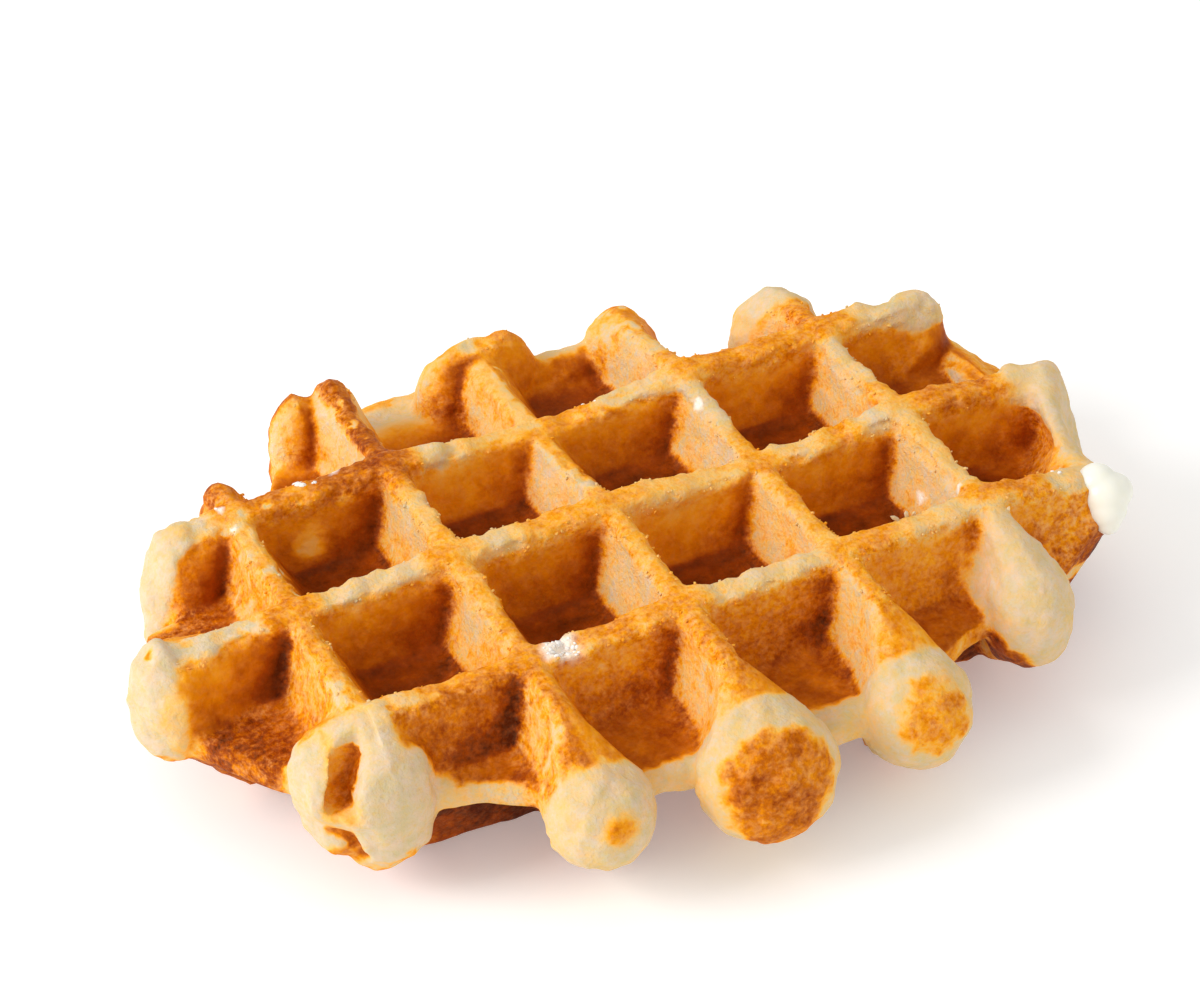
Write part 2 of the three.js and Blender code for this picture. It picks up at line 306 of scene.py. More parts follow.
# Lumps and dents: (pitches along, pitches back, mm over the web, radius in mm, height
# in mm).
marks = [
    (-0.05, 2.27, 12.0, 3.0, 0.9), (-0.42, 2.05, 10.5, 3.5, 0.6), (-0.62, 1.95, 3.0, 4.0, 0.5),
    (-0.1, 2.35, 9.0, 2.2, 0.8), (0.12, 2.36, 10.5, 1.8, 0.6), (-0.75, 1.0, 12.5, 5.0, -0.9),
    (-1.05, 0.95, 1.0, 4.0, 0.5), (-1.08, 1.02, 6.0, 1.6, 0.7), (-0.86, 1.14, 9.0, 1.8, 0.7),
    (-0.95, 0.86, -3.0, 2.6, 0.5), (4.62, 2.08, 12.0, 2.6, 0.9), (4.3, 2.08, 12.0, 2.4, 0.5),
    (4.87, 1.98, 11.0, 2.0, 0.6), (4.78, 1.06, 12.0, 2.2, 0.7), (4.93, 1.12, 12.5, 1.6, -0.9),
    (5.08, 1.0, 12.0, 2.4, 0.6), (2.22, 3.05, 11.0, 2.6, 0.6), (2.02, 3.12, 8.0, 2.6, 0.5),
    (1.22, -0.02, 12.3, 2.6, -0.9), (1.32, -0.1, 10.6, 1.8, 0.6), (2.2, 2.0, 12.0, 3.0, -0.8),
    (2.42, 2.04, 12.0, 2.4, 0.5), (3.55, 1.0, 12.0, 2.6, -0.6), (3.78, 1.0, 12.4, 2.0, 0.5),
    (4.78, -0.08, 8.5, 4.5, -1.2), (2.8, 2.9, 8.0, 3.0, 0.4), (4.35, 0.02, 12.5, 2.5, 0.5),
    (4.5, 0.0, 12.5, 1.8, -0.6), (0.35, 1.0, 12.4, 2.4, 0.5), (0.62, 1.0, 12.4, 2.6, 0.4),
    (1.3, 2.0, 12.4, 2.2, 0.5), (1.5, 2.0, 12.4, 2.0, 0.4), (2.45, 0.0, 12.4, 3.0, 0.6),
    (2.2, 0.0, 12.4, 2.4, -0.5), (2.75, 0.0, 12.4, 2.4, 0.4),
    # Under the corner's slit is a fold.
    (-0.35, -0.2, 0.4, 1.6, -0.6), (-0.31, -0.23, 0.0, 1.6, -0.7),
    (-0.27, -0.27, -0.6, 1.7, -0.8), (-0.24, -0.29, -1.8, 1.7, -0.8),
    (-0.22, -0.3, -3.4, 1.7, -0.8), (-0.35, -0.24, -3.0, 2.6, 0.9),
    (-0.34, -0.33, -5.0, 3.0, 1.0), (0.0, -0.38, -8.0, 2.0, 0.7), (0.14, -0.36, -7.0, 1.6, 0.7),
    (0.06, -0.4, -4.6, 1.8, 0.6),
]
for along, behind, over, radius, height in marks:
    swelling += height * near(places, on_grid(along, behind, over * MM), radius * MM)
places += normals * (swelling * MM)[:, None]
# The plates held the skin: it passes their faces by 0.4 mm at most.
places[:, 2] = np.clip(places[:, 2], low.z + 0.05 * MM, high.z + 0.4 * MM)
crust.data.vertices.foreach_set("co", places.ravel())
crust.data.update()
thin_out = crust.modifiers.new("fewer faces on plain stretches", "DECIMATE")
thin_out.ratio = most_triangles / (2 * len(crust.data.polygons))
settle(crust)
for face in crust.data.polygons:
    face.use_smooth = True

# The skin browns from cream to dark caramel: least on torn crests and swollen ends, more on
# the walls, most on the floors and in the corners. Its toast is painted on its vertices, and
# with it painted shade in the corners, down the pockets and underneath.
places, normals = read(crust)
across, back, above = grid_of(places)
# The last rib's outer face swelled free as well.
outer_face = ramp(0.1, 0.4, normals[:, 0]) * ramp(4.85, 4.9, across)
outer_face *= ramp(0.1, 0.2, back) * ramp(-2, 0, above)
free = np.maximum(freed(places), outer_face)
rib_toast, from_along, from_back = toast_of_crests(places)
# Faces that look down take a darker toast: painted shade under the waffle, away from the light.
facing_down = ramp(0.3, 0.85, -normals[:, 2])
underside_toast_and_shade = 0.68 + 0.2 * lumps(places, 14 * MM, 41)
crest_toast = rib_toast + (underside_toast_and_shade - rib_toast) * facing_down

# Walls brown where they touch a peg: toast for each pocket's walls, in rows from the front
# and columns from the left, and for the left walls of the ribs along Y, in the same rows and a
# column for each rib. The left walls are painted paler: painted light from the key on the left.
pocket_toast = np.array(
    [
        [0.55, 0.6, 0.46, 0.47, 0.42, 0.45],
        [0.45, 0.48, 0.5, 0.4, 0.45, 0.47],
        [0.5, 0.54, 0.37, 0.48, 0.44, 0.48],
        [0.5, 0.42, 0.26, 0.46, 0.46, 0.46],
    ]
)
lit_left_wall_toast = np.array(
    [
        [0.36, 0.36, 0.27, 0.22, 0.15, 0.08],
        [0.38, 0.28, 0.2, 0.2, 0.2, 0.46],
        [0.36, 0.24, 0.16, 0.2, 0.2, 0.08],
        [0.5, 0.2, 0.24, 0.22, 0.15, 0.08],
    ]
)
row = np.clip(np.floor(back).astype(int), -1, 2) + 1
column = np.clip(np.floor(across).astype(int), -1, 4) + 1
nearest_rib = np.clip(np.round(across).astype(int), 0, 5)
facing_left = np.clip(-normals[:, 0] * 1.3, 0, 1)
facing_front = np.clip(-normals[:, 1] * 1.3, 0, 1)
off_web = np.abs(above)  # mm from the web's middle, up or down
wall_toast_and_shade = pocket_toast[row, column] + 0.07 * lumps(places, 7 * MM, 47)
# Walls that face left take the paler toast: painted light from the key on the left.
lit_left_toast = lit_left_wall_toast[row, nearest_rib]
lit_left_toast = lit_left_toast + 0.14 * lumps(places, 5 * MM, 48) + 0.08 * lumps(places, 2.2 * MM, 49)
wall_toast_and_shade += (lit_left_toast - wall_toast_and_shade) * facing_left
# They darken near the web, painted shade deep in the pockets with some toast, and more still on
# the waffle's lower half, painted shade under it.
wall_toast_and_shade += 0.06 * ramp(10, 3, off_web) * (1 - facing_left)
wall_toast_and_shade += 0.22 * ramp(-1.5, -3.5, above)
# Those that face the front darken towards each pocket's right corner: painted shade where the
# next rib shuts out the light, with some toast.
half_rib = np.interp(off_web, [1.7, 3.4, 12.5], [4.4, 3.5, 2.1])
from_corner = (np.ceil(across) - across) * pitch / MM - half_rib
corner_shade = 0.1 * ramp(8, 2.5, from_corner) + 0.28 * ramp(3.4, 0.0, from_corner)
corner_shade -= 0.08 * ramp(5, 11, from_corner) * ramp(9, 3, off_web)
corner_shade += 0.14 * ramp(9, 2, from_corner) * (across < 0) * (back < 1.5)
corner_shade += 0.2 * ramp(7, 1, from_corner) * (back > 2.4) * (across > 1) * (across < 2.2)
corner_shade *= 1 - 0.35 * (across > 4) * (back > 0)
wall_toast_and_shade += corner_shade * facing_front * ramp(12.0, 9.5, off_web) * ramp(6.5, 5.0, from_along)
# The foot of a wall is darker than its top, and the floor is darkest well inside the rim:
# painted shade deep in the pockets, with some toast.
floor_height = np.where(above > 0, 3.4 + puffed_at(places), 3.4)
front_right_pocket = ramp(2.9, 3.1, across) * ramp(4.1, 4.0, across) * (back < 0)
paler_foot = np.clip(0.7 * facing_left + 0.6 * front_right_pocket, 0, 1)
wall_toast_and_shade += 0.16 * ramp(5.0, -0.5, off_web - floor_height) * (1 - paler_foot)
inside = ramp(-0.1, 0.3, back) * ramp(3.0, 2.6, back)
inside *= ramp(-0.1, 0.3, across) * ramp(4.6, 4.2, across)
floor_toast_and_shade = 0.69 + 0.16 * inside + 0.08 * lumps(places, 3 * MM, 55)
floor_toast_and_shade -= 0.5 * ramp(2.6, 2.95, back) * ramp(1.72, 1.6, across)
floor_toast_and_shade -= 0.25 * ramp(2.75, 2.92, back) * ramp(2.2, 2.4, across)
on_floor = ramp(floor_height + 0.4, floor_height - 1.2, off_web)
on_floor *= ramp(0.5, 0.85, np.abs(normals[:, 2]))
wall_toast_and_shade += (floor_toast_and_shade - wall_toast_and_shade) * on_floor
# The crests' toast takes over at a wavering line, lower down at the right end.
waver = 0.5 * lumps(places, 2.2 * MM, 53) + 0.45 * lumps(places, 0.9 * MM, 59)
lower_line = 1.6 * ramp(4.3, 4.6, across) * (above > 0)
on_crest = ramp(10.7, 11.8, off_web + waver + lower_line)
toast = wall_toast_and_shade + (crest_toast - wall_toast_and_shade) * on_crest
# Ends that swelled past the front are pale all round.
end_toast = np.where(back < -0.5, np.minimum(crest_toast, 0.1), crest_toast)
toast += (end_toast - toast) * free

# The web's own rim is pale, in a band of a millimetre or two, but not at the left end.
from_ribs = np.minimum(from_along, from_back)
edge_of_web = (off_web < 2.2) & (np.abs(normals[:, 2]) < 0.6) & (from_ribs > 5.2)
rim_tree = KDTree(int(edge_of_web.sum()))
for number, place in enumerate(places[edge_of_web]):
    rim_tree.insert(place, number)
rim_tree.balance()
from_rim = np.array([rim_tree.find(place)[2] for place in places]) / MM
band = 0.5 + 0.8 * lumps(places, 4 * MM, 73) + 0.4 * lumps(places, 1.2 * MM, 74)
band -= 0.9 * ramp(3.15, 3.3, across)
clear_of_ribs = ramp(5.0, 6.5, from_ribs) * ramp(-0.5, -0.3, across)
paled = (0.18 - toast) * ramp(0.6, -0.4, from_rim - band)
toast += paled * ramp(3.6, 2.6, off_web) * clear_of_ribs

# Spots: (pitches along, pitches back, mm over the web, radius in mm, toast).
# The dark spots along the fold under the corner's slit and under the web at the front right end
# are painted shade, in the crease and under that end.
spots = [
    (1.85, -1.24, -4.0, 4.5, 0.6), (2.1, -1.24, -5.5, 4.0, 0.55), (3.0, -1.14, 0.6, 3.2, 0.52),
    (3.83, -0.46, -5.1, 4.5, 0.8), (3.8, -0.66, -1.6, 2.0, 0.6), (-0.33, -0.26, -4.4, 3.8, 0.5),
    (-0.35, -0.2, 0.4, 1.3, 0.5), (-0.31, -0.23, 0.0, 1.4, 0.62),
    (-0.27, -0.27, -0.6, 1.5, 0.7), (-0.24, -0.29, -1.8, 1.6, 0.74),
    (-0.22, -0.3, -3.4, 1.6, 0.7), (0.04, -0.39, -4.0, 1.3, 0.45),
    (-0.06, -0.28, -8.6, 1.6, 0.6), (-0.6, 0.5, 1.7, 9.0, 0.8), (-0.92, 1.02, 11.9, 1.4, 0.5),
    (-0.05, 2.23, 12.2, 3.4, 0.62), (3.8, -0.5, -5.0, 6.0, 0.88),
    (3.84, -0.62, -4.2, 4.0, 0.82), (3.72, -0.36, -3.4, 4.0, 0.85),
    (4.5, -0.19, -0.9, 2.2, 0.15), (4.36, -0.2, -0.8, 2.2, 0.2), (4.6, -0.12, -1.0, 2.2, 0.15),
    (1.54, 2.98, 9.0, 2.8, 0.1), (1.55, 2.98, 6.0, 2.0, 0.14), (1.84, 2.84, 3.4, 3.4, 0.66),
    (3.86, 2.3, 4.0, 6.5, 0.42), (3.84, 2.16, 8.0, 3.5, 0.42), (1.95, 3.0, 12.2, 3.0, 0.03),
    (0.37, 1.86, 6.6, 3.4, 0.3), (0.42, 1.86, 8.6, 2.0, 0.34), (-0.7, 0.34, 0.8, 6.0, 0.6),
    (-0.72, 1.5, 1.7, 6.5, 0.62), (-0.86, 1.45, 0.0, 3.4, 0.6), (-1.0, 1.2, 2.0, 2.0, 0.75),
    (2.8, 2.75, 9.0, 3.0, 0.5), (3.02, 3.02, 10.0, 3.0, 0.55), (1.38, -0.16, 8.8, 1.8, 0.15),
    (-0.4, 2.0, 12.0, 3.0, 0.2), (1.3, 1.9, 11.4, 1.8, 0.12), (1.2, 1.6, 12.0, 2.2, 0.12),
    (3.74, -0.56, -0.8, 3.0, 0.8), (3.82, -0.62, -2.4, 3.0, 0.78),
    (1.82, 1.72, 11.0, 3.6, 0.08), (1.8, 1.45, 10.0, 2.5, 0.12), (3.86, 2.6, 10.0, 4.0, 0.06),
    (1.0, 1.55, 10.5, 4.0, 0.12), (3.95, 1.95, 10.0, 2.6, 0.05),
]
ragged = 0.16 * lumps(places, 1.6 * MM, 67)
for along, behind, over, radius, spot_toast in spots:
    reach = near(places, on_grid(along, behind, over * MM), radius * MM) + ragged
    toast += (spot_toast - toast) * ramp(0.12, 0.6, reach)
# The slit is golden on its left and dark on its right, as toast and as a painted shadow
# across it: a point in it has dough on both sides.
corners = [vertex.co for vertex in crust.data.vertices]
crust_faces = BVHTree.FromPolygons(corners, [face.vertices for face in crust.data.polygons])
around_slit = near(places, on_grid(-0.23, -0.33, 6.0 * MM), 10 * MM) * ramp(0.5, 1.0, above) > 0
from_slit, along_slit = slit_frame(places)
glow = ramp(-3.0, -1.8, from_slit - slit_shift(along_slit, above)) * ramp(1.0, -1.0, from_slit)
glow *= around_slit * ramp(-10.5, -9.0, along_slit) * ramp(1.0, 3.0, above)
toast = np.maximum(toast, 0.3 * glow)
widest_slit = 5.4 * MM
for number in np.flatnonzero(around_slit):
    start = Vector(places[number] + normals[number] * 0.15 * MM)
    to_left = crust_faces.ray_cast(start, Vector((-1, 0, 0)), widest_slit)[3]
    to_right = crust_faces.ray_cast(start, Vector((1, 0, 0)), widest_slit)[3]
    if to_left is not None and to_right is not None:
        from_left = to_left / (to_left + to_right)
        toast[number] = np.interp(from_left, [0, 0.3, 0.7, 1], [0.3, 0.38, 0.54, 0.74])
# The second end along the front has one browned spot, with a soft edge.
soft_spot = near(places, on_grid(1.02, -1.1, 2.4 * MM), 3.8 * MM)
toast += (0.48 - toast) * ramp(0.0, 0.95, soft_spot)
# The pressed faces browned as well, all over.
pressed = np.zeros(len(places))
for along, behind, over, facing, out, _, face_toast in pressed_faces:
    past, _ = past_flat(places, along, behind, over, facing, out)
    past = past + 0.9 * lumps(places, 2.2 * MM, 68) + 0.5 * lumps(places, 0.9 * MM, 69)
    browned = face_toast + 0.13 * lumps(places, 3 * MM, 70)
    browned += 0.06 * lumps(places, 1.1 * MM, 72)
    toast += (browned - toast) * ramp(-0.9, 1.0, past)
    pressed += ramp(-0.9, 1.0, past)

# Flakes of pale dough on the browned skin: (pitches along, pitches back, mm over the web,
# radius in mm, share that is pale).
flaked = [
    (0.0, 1.85, 11.0, 7.0, 0.5), (-0.05, 1.5, 10.0, 9.0, 0.55), (-0.05, 1.15, 9.0, 7.0, 0.55),
    (-0.05, 0.7, 9.0, 8.0, 0.5), (-0.02, 0.3, 10.0, 8.0, 0.5), (0.9, -0.35, 8.0, 7.0, 0.35),
    (0.9, -0.65, 5.0, 7.0, 0.5), (0.95, 2.5, 8.0, 9.0, 0.5), (1.9, 2.5, 9.0, 9.0, 0.5),
    (1.0, 0.5, 9.0, 8.0, 0.3), (2.9, 2.7, 9.0, 8.0, 0.5), (2.9, 1.5, 9.0, 8.0, 0.4),
    (3.9, 1.5, 9.0, 9.0, 0.45), (2.95, 2.9, 9.0, 7.0, 0.5), (-0.7, 1.0, 12.0, 6.0, 0.4),
    (0.5, 2.0, 12.0, 5.0, 0.3), (1.15, 2.0, 10.0, 6.0, 0.3), (1.9, -0.5, 8.0, 9.0, 0.3),
    (2.9, -0.5, 8.0, 8.0, 0.3), (4.45, 0.0, 12.5, 8.0, 0.3),
]
drawn_out = np.array((1, 1, 0.6))  # a flake is longer upwards
flake = lumps(places * drawn_out, 1.5 * MM, 81) + 0.4 * lumps(places, 0.8 * MM, 82)
for along, behind, over, radius, share in flaked:
    reach = near(places, on_grid(along, behind, over * MM), radius * MM) ** 0.5
    pale = ramp(0.12, 0.4, flake + share - 0.5 - 0.6 * (1 - reach)) * ramp(0, 0.3, reach)
    toast += (0.12 - toast) * pale * (1 - on_floor) * (1 - facing_front * ramp(11.5, 10, above))
# Freckles: dough this rich in sugar browns in fine flecks.
toast += 0.07 * lumps(places, 1.3 * MM, 79) * ramp(0.1, 0.35, toast)
toast = np.clip(toast, 0, 1)

# Sugar that melted out set white in places: (pitches along, pitches back, mm over the web,
# radius in mm).
sugar_patches = [
    (1.18, 0.0, 12.0, 4.0), (3.85, 0.49, 6.3, 1.3), (3.89, 0.17, 11.8, 1.1),
    (-0.09, 2.04, 12.4, 1.0), (-0.08, 1.86, 12.2, 0.9), (0.66, 2.06, 12.4, 1.0),
    (2.92, 1.68, 12.0, 1.5),
]
sugared = np.zeros(len(places))
ragged = 0.2 * lumps(places, 1.2 * MM, 71)
for along, behind, over, radius in sugar_patches:
    reach = near(places, on_grid(along, behind, over * MM), radius * MM) + ragged
    sugared = np.maximum(sugared, 0.85 * ramp(0.15, 0.6, reach))


def paint(piece, name, values):
    """Keeps one number for each vertex, for the material to read."""
    attribute = piece.data.attributes.new(name, "FLOAT", "POINT")
    attribute.data.foreach_set("value", values.astype(np.float32))


# Grit runs from 0, smooth, to 1: the left walls and the crests are crisp, and so are the floor
# at the left end and the front row's walls.
grit = 0.2 + 0.7 * facing_left + 0.4 * ramp(9.5, 11.5, off_web)
grit += 0.6 * on_floor * ramp(-0.2, -0.4, across)
grit += (0.3 + 0.3 * ramp(4.1, 4.3, across)) * facing_front * ramp(0.3, 0.1, back)
grit += (0.5 + 0.1 * pressed - grit) * free

paint(crust, "toast", toast)
paint(crust, "sugared", sugared)
paint(crust, "grit", np.clip(grit, 0, 1))


# Baked yeast dough: a dry, finely pored skin over a soft crumb. A little light scatters in it,
# up to a millimetre deep, and caramelised sugar gives the browned skin a dull gloss.
def linear(colour):
    """An sRGB hex colour as linear red, green, blue and alpha."""
    shares = [int(colour[place : place + 2], 16) / 255 for place in (0, 2, 4)]
    return [s / 12.92 if s <= 0.04045 else ((s + 0.055) / 1.055) ** 2.4 for s in shares] + [1]


def add(tree, kind, settings=None, links=None):
    """Adds a shader node: its settings by property or socket, then its links by socket."""
    node = tree.nodes.new("ShaderNode" + kind)
    for name, value in (settings or {}).items():
        if isinstance(name, str) and hasattr(node, name):
            setattr(node, name, value)
        else:
            node.inputs[name].default_value = value
    for name, source in (links or {}).items():
        tree.links.new(source, node.inputs[name])
    return node


crust_finish = bpy.data.materials.new("baked yeast dough")
crust_finish.use_nodes = True
tree = crust_finish.node_tree
tree.nodes.clear()
on_piece = {"Vector": add(tree, "TexCoord").outputs["Object"]}
# The toast it reads holds painted shade as well.
toast_and_shade = add(tree, "Attribute", {"attribute_name": "toast"}).outputs["Fac"]
sugary = add(tree, "Attribute", {"attribute_name": "sugared"}).outputs["Fac"]
gritty = add(tree, "Attribute", {"attribute_name": "grit"}).outputs["Fac"]
# Some sockets go by number. A Map Range takes its socket 0 from the range between sockets 1
# and 2 to the one between 3 and 4. A colour Mix has its share in 0, its colours in 6 and 7.

# The skin is a grain of about 0.5 mm, whose high points stay pale, over flecks of about
# 1.4 mm and blotches of about 3 mm. Each makes the toast uneven, the first two where it is
# gritty.
grain = add(tree, "TexNoise", {"Scale": 1 / (0.5 * MM), "Detail": 2, "Roughness": 0.6}, on_piece)
flecks = add(
    tree,
    "TexNoise",
    {"Scale": 1 / (1.4 * MM), "Detail": 2, "Distortion": 0.6},
    on_piece,
)
blotches = add(tree, "TexNoise", {"Scale": 1 / (3 * MM), "Detail": 3}, on_piece)
by_grain = add(tree, "MapRange", {1: 0.3, 2: 0.7, 3: 0.12, 4: -0.12}, {0: grain.outputs[0]})
by_flecks = add(tree, "MapRange", {1: 0.35, 2: 0.65, 3: -0.09, 4: 0.09}, {0: flecks.outputs[0]})
by_blotches = add(tree, "MapRange", {1: 0.3, 2: 0.7, 3: -0.05, 4: 0.05}, {0: blotches.outputs[0]})
fine = add(tree, "Math", {"operation": "ADD"}, {0: by_grain.outputs[0], 1: by_flecks.outputs[0]})
uneven = add(
    tree,
    "Math",
    {"operation": "MULTIPLY_ADD"},
    {0: fine.outputs[0], 1: gritty, 2: by_blotches.outputs[0]},
)
tone = add(tree, "Math", {"operation": "ADD"}, {0: toast_and_shade, 1: uneven.outputs[0]}).outputs[0]
browning = add(tree, "ValToRGB", None, {"Fac": tone})
shades = [
    (0.0, "CCBF9F"),
    (0.1, "DABB82"),
    (0.25, "F2B854"),
    (0.38, "F4A21E"),
    (0.5, "E48704"),
    (0.62, "C86A02"),
    (0.78, "9A4203"),
    (1.0, "521E04"),
]
stops = browning.color_ramp.elements
while len(stops) < len(shades):
    stops.new(0.5)
for stop, (place, shade) in zip(stops, shades):
    stop.position = place
    stop.color = linear(shade)

# Raw flour bloom: fine pinkish flecks of about 0.8 mm that browning left behind, on the
# grittier parts.
flour = add(tree, "TexNoise", {"Scale": 1 / (0.8 * MM), "Detail": 3, "Distortion": 0.4}, on_piece)
floury = add(tree, "MapRange", {1: 0.42, 2: 0.7, 3: 0.0, 4: 0.5}, {0: flour.outputs[0]})
on_grit = add(tree, "Math", {"operation": "MULTIPLY"}, {0: floury.outputs[0], 1: gritty})
unbaked = add(tree, "MapRange", {1: 0.45, 2: 0.75, 3: 1.0, 4: 0.15}, {0: tone})
bloom = add(
    tree,
    "Math",
    {"operation": "MULTIPLY"},
    {0: on_grit.outputs[0], 1: unbaked.outputs[0]},
)
bloomed = add(
    tree,
    "Mix",
    {"data_type": "RGBA", 7: linear("EABC8A")},
    {0: bloom.outputs[0], 6: browning.outputs["Color"]},
)

# Raw dough is mottled over about 2 mm, a little green where it is rich in egg and pink where
# sugar sat.
mottle = add(
    tree,
    "TexNoise",
    {"Scale": 1 / (2 * MM), "Detail": 5, "Roughness": 0.68},
    on_piece,
)
sugar_share = add(tree, "MapRange", {1: 0.36, 2: 0.64}, {0: mottle.outputs[0]})
raw = add(
    tree,
    "Mix",
    {"data_type": "RGBA", 6: linear("D6BD7A"), 7: linear("F0CDB6")},
    {0: sugar_share.outputs[0]},
)
rawness = add(tree, "MapRange", {1: 0.08, 2: 0.34, 3: 0.4, 4: 0.0}, {0: toast_and_shade})
mottled = add(
    tree,
    "Mix",
    {"data_type": "RGBA"},
    {0: rawness.outputs[0], 6: bloomed.outputs[2], 7: raw.outputs[2]},
)
coloured = add(
    tree,
    "Mix",
    {"data_type": "RGBA", 7: linear("FBF4E8")},
    {0: sugary, 6: mottled.outputs[2]},
)

# Pores: dimples about 1.6 mm apart, under the grain.
dimples = add(tree, "TexVoronoi", {"Scale": 1 / (1.6 * MM)}, on_piece)
dimple = add(tree, "MapRange", {1: 0.0, 2: 0.35}, {0: dimples.outputs["Distance"]})
grainy = add(tree, "Math", {"operation": "MULTIPLY"}, {0: grain.outputs[0], 1: gritty})
relief = add(
    tree,
    "Math",
    {"operation": "MULTIPLY_ADD", 1: 0.25},
    {0: dimple.outputs[0], 2: grainy.outputs[0]},
)
pores = add(tree, "Bump", {"Strength": 1.0, "Distance": 0.28 * MM}, {"Height": relief.outputs[0]})
gloss = add(tree, "MapRange", {1: 0.1, 2: 0.8, 3: 0.72, 4: 0.5}, {0: tone})
skin = add(
    tree,
    "BsdfPrincipled",
    {
        "IOR": 1.45,
        "Specular IOR Level": 0.06,
        "Subsurface Weight": 0.1,
        "Subsurface Radius": (1.0, 0.5, 0.25),
        "Subsurface Scale": 0.8 * MM,
    },
    {
        "Base Color": coloured.outputs[2],
        "Roughness": gloss.outputs[0],
        "Normal": pores.outputs[0],
    },
)
add(tree, "OutputMaterial", None, {"Surface": skin.outputs[0]})
crust.data.materials.clear()
crust.data.materials.append(crust_finish)
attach(crust, "root")
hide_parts("waffle")

# ---- Loose crumb ----
# Where a crest tore from the plate it left specks of dough standing along its edges. They
# are the same dough, as brown as the skin they sit on or a little paler.
crumbs_count = 600
crumb_radius = (0.1 * MM, 0.26 * MM)  # from the finest to the coarsest
# Slivers that stand on the front rib's crest: (pitches along, pitches back, mm long, lean to
# the right in radians).
slivers = [(3.425, 0.07, 1.9, -0.85), (3.485, 0.07, 1.5, -0.2), (3.53, 0.08, 0.9, 0.4)]
sliver_radius = 0.3 * MM

random.seed(5)
edge_of_crest = (above > 10.5) & (normals[:, 2] > 0) & (normals[:, 2] < 0.85)
part_browned = (toast > 0.15) & (toast < 0.5)
specks = bmesh.new()
speck_toast = []
for number in random.sample(list(np.flatnonzero(edge_of_crest & part_browned)), crumbs_count):
    radius = random.uniform(*crumb_radius)
    speck = bmesh.ops.create_icosphere(specks, subdivisions=1, radius=radius)["verts"]
    turn_by = Matrix.Rotation(random.uniform(0, math.tau), 3, Vector(normals[number]))
    stretch = Vector(
        (random.uniform(0.7, 1.5), random.uniform(0.6, 1.1), random.uniform(0.6, 1.1))
    )
    seat = Vector(places[number]) + Vector(normals[number]) * radius * 0.3
    for vertex in speck:
        vertex.co = seat + turn_by @ (vertex.co * stretch * random.uniform(0.75, 1.25))
    speck_toast += [toast[number] + random.uniform(-0.12, 0.0)] * len(speck)
for along, behind, length, lean in slivers:
    sliver = bmesh.ops.create_icosphere(specks, subdivisions=1, radius=sliver_radius)["verts"]
    turn_by = Matrix.Rotation(lean, 3, "Y")
    foot = crust_faces.ray_cast(on_grid(along, behind, 20 * MM), Vector((0, 0, -1)))[0]
    seat = foot + turn_by @ Vector((0, 0, 0.3 * length * MM))
    for vertex in sliver:
        vertex.co = seat + turn_by @ (vertex.co * Vector((1, 0.8, length / 0.6)))
    speck_toast += [0.0] * len(sliver)
crumbs = bpy.data.objects.new("crumbs", bpy.data.meshes.new("crumbs"))
bpy.context.collection.objects.link(crumbs)
specks.to_mesh(crumbs.data)
specks.free()
paint(crumbs, "toast", np.clip(speck_toast, 0, 1))
paint(crumbs, "grit", np.full(len(speck_toast), 0.5))
paint(crumbs, "sugared", np.zeros(len(speck_toast)))
crumbs.data.materials.append(crust_finish)
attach(crumbs, "root")

# ---- Pearl sugar ----
# The dough is full of pearl sugar, hard white lumps pressed from fine sugar. Most of it
# melts into the crust; a few lumps still show, broken, where the plates tore them open.
# Clusters: (pitches along, pitches back, how many, spread in mm, largest radius in mm).
clusters = [
    (1.14, 0.01, 12, 1.2, 0.5), (1.2, 0.0, 16, 1.5, 0.55), (1.25, -0.03, 8, 1.0, 0.5),
    (0.42, 2.07, 6, 1.0, 0.8), (0.5, 2.05, 3, 0.7, 0.6), (2.36, 2.08, 4, 0.9, 0.5),
    (-0.08, 2.04, 2, 0.5, 0.5), (4.53, 0.08, 2, 0.5, 0.4),
]

random.seed(11)
lump_mesh = bmesh.new()
for along, behind, count, spread, largest in clusters:
    for _ in range(count):
        start = on_grid(along, behind, 20 * MM)
        start += Vector((random.uniform(-spread, spread), random.uniform(-spread, spread), 0)) * MM
        seat = crust_faces.ray_cast(start, Vector((0, 0, -1)))[0]
        if seat is None or seat.z < middle + 9 * MM:
            continue
        radius = random.uniform(0.4, 1) * largest * MM
        lump = bmesh.ops.create_icosphere(lump_mesh, subdivisions=1, radius=radius)["verts"]
        flatten = Vector(
            (random.uniform(0.8, 1.2), random.uniform(0.7, 1.1), random.uniform(0.5, 0.8))
        )
        angle = random.uniform(0, math.tau)
        tumble = Matrix.Rotation(angle, 3, Vector((random.random(), random.random(), 1)))
        sunk = Vector((0, 0, 0.25 * radius))
        for vertex in lump:
            broken = 1 + 0.35 * noise.noise(vertex.co / radius * 1.3 + seat / MM)
            vertex.co = seat + tumble @ (vertex.co * flatten * broken) - sunk
pearl_sugar = bpy.data.objects.new("pearl_sugar", bpy.data.meshes.new("pearl_sugar"))
bpy.context.collection.objects.link(pearl_sugar)
lump_mesh.to_mesh(pearl_sugar.data)
lump_mesh.free()
for face in pearl_sugar.data.polygons:
    face.use_smooth = True

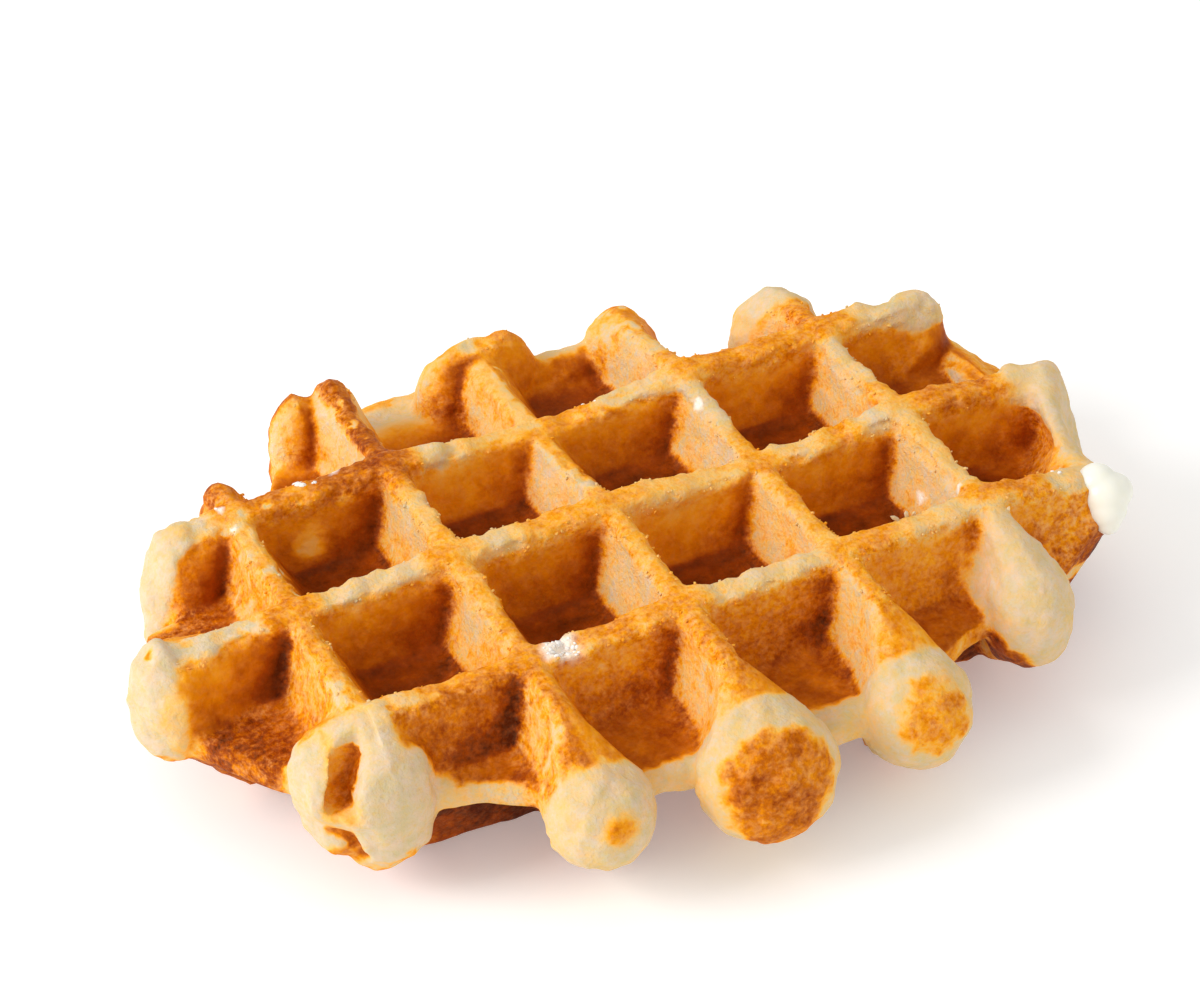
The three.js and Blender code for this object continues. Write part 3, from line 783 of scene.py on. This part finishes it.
# Pressed sugar: a mass of fine clear crystals, so it is white, dull and lets light soak in.
sugar_finish = bpy.data.materials.new("pressed sugar")
sugar_finish.use_nodes = True
tree = sugar_finish.node_tree
tree.nodes.clear()
on_piece = {"Vector": add(tree, "TexCoord").outputs["Object"]}
crystals = add(tree, "TexNoise", {"Scale": 1 / (0.35 * MM), "Detail": 2}, on_piece)
facets = add(
    tree, "Bump", {"Strength": 0.8, "Distance": 0.12 * MM}, {"Height": crystals.outputs[0]}
)
sugar = add(
    tree,
    "BsdfPrincipled",
    {
        "Base Color": linear("FAF2E8"),
        "Roughness": 0.45,
        "IOR": 1.54,
        "Subsurface Weight": 0.3,
        "Subsurface Radius": (1.0, 0.9, 0.75),
        "Subsurface Scale": 0.6 * MM,
    },
    {"Normal": facets.outputs[0]},
)
add(tree, "OutputMaterial", None, {"Surface": sugar.outputs[0]})
pearl_sugar.data.materials.append(sugar_finish)
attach(pearl_sugar, "root")

# ---- Sugar bead ----
# At the front right end a pearl of sugar melted half way and set again as a milky bead that
# hangs on the end of the rib.
bead_middle = on_grid(4.76, -0.1, 8.2 * MM)
# Its drops: (mm along, back and up from the middle, radius in mm).
drops = [
    (0.0, 0.0, 0.0, 3.0), (-0.5, 1.1, 1.1, 2.5), (-2.1, 1.6, 0.9, 1.3), (-0.3, -0.9, -1.4, 2.6),
    (1.1, -0.4, 0.3, 2.3), (-0.5, -1.8, -2.9, 1.6),
]

bead_mesh = bmesh.new()
for along, behind, over, radius in drops:
    seat = Matrix.Translation(bead_middle + Vector((along, behind, over)) * MM)
    bmesh.ops.create_icosphere(bead_mesh, subdivisions=3, radius=radius * MM, matrix=seat)
bead = bpy.data.objects.new("sugar_bead", bpy.data.meshes.new("sugar_bead"))
bpy.context.collection.objects.link(bead)
bead_mesh.to_mesh(bead.data)
bead_mesh.free()
run_together = bead.modifiers.new("run together", "REMESH")
run_together.mode = "VOXEL"
run_together.voxel_size = 0.22 * MM
soften = bead.modifiers.new("melted smooth", "SMOOTH")
soften.factor = 0.6
soften.iterations = 9
settle(bead)
for face in bead.data.polygons:
    face.use_smooth = True

# Half melted sugar: milky, smooth and a little clear, with a soft gloss.
bead_finish = bpy.data.materials.new("half melted sugar")
bead_finish.use_nodes = True
tree = bead_finish.node_tree
tree.nodes.clear()
melted = add(
    tree,
    "BsdfPrincipled",
    {
        "Base Color": linear("F1EFE2"),
        "Roughness": 0.3,
        "IOR": 1.5,
        "Subsurface Weight": 0.6,
        "Subsurface Radius": (1.0, 0.95, 0.8),
        "Subsurface Scale": 2 * MM,
    },
)
add(tree, "OutputMaterial", None, {"Surface": melted.outputs[0]})
bead.data.materials.append(bead_finish)
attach(bead, "root")

# ---- The table ----
# The waffle lies on a light table: one plain sheet of white acrylic, lit from below a little.
# It is far larger than the view, so none of its edges show.
table_reach = 3.0
table = bpy.data.objects.new("table", bpy.data.meshes.new("table"))
bpy.context.collection.objects.link(table)
top = bmesh.new()
bmesh.ops.create_grid(top, x_segments=1, y_segments=1, size=table_reach)
top.to_mesh(table.data)
top.free()
table_finish = bpy.data.materials.new("lit white acrylic")
table_finish.use_nodes = True
acrylic = table_finish.node_tree.nodes["Principled BSDF"].inputs
acrylic["Base Color"].default_value = linear("F4F4F2")
acrylic["Roughness"].default_value = 0.8
acrylic["Emission Color"].default_value = (1, 1, 1, 1)
acrylic["Emission Strength"].default_value = 0.22
table.data.materials.append(table_finish)

# ---- Light ----
# Soft studio light: a large softbox as the key, from the left and a little behind, and a
# white room that fills the shadows.
room = bpy.data.worlds.new("white room")
room.use_nodes = True
walls = room.node_tree.nodes["Background"].inputs
walls["Color"].default_value = (1, 1, 1, 1)
walls["Strength"].default_value = 0.79
bpy.context.scene.world = room

key_distance = 0.9
to_key = Vector((-0.8, 0.1, 0.55)).normalized()
key = bpy.data.lights.new("key", "AREA")
key.size = 0.4
key.energy = 5.1
softbox = bpy.data.objects.new("key", key)
bpy.context.collection.objects.link(softbox)
softbox.location = to_key * key_distance
softbox.rotation_euler = to_key.to_track_quat("Z", "Y").to_euler()

# ---- Camera ----
# From the front left and 0.39 m away, looking down at about 37 degrees through a portrait
# lens.
turn, tilt, roll = math.radians(-24.4), math.radians(37.3), math.radians(-2.6)
aim_at = on_grid(1.935, 1.02, 12.5 * MM)
camera_distance = 0.388
backwards = Vector(
    (math.sin(turn) * math.cos(tilt), -math.cos(turn) * math.cos(tilt), math.sin(tilt))
)
right = Vector((math.cos(turn), math.sin(turn), 0))
up = backwards.cross(right)
lens = bpy.data.cameras.new("camera")
lens.sensor_width = 36
lens.lens = 98
camera = bpy.data.objects.new("camera", lens)
bpy.context.collection.objects.link(camera)
stand = Matrix.Translation(aim_at + backwards * camera_distance)
aimed = Matrix((right, up, backwards)).transposed().to_4x4()
camera.matrix_world = stand @ aimed @ Matrix.Rotation(roll, 4, "Z")
bpy.context.scene.camera = camera
bpy.context.scene.view_settings.view_transform = "Standard"
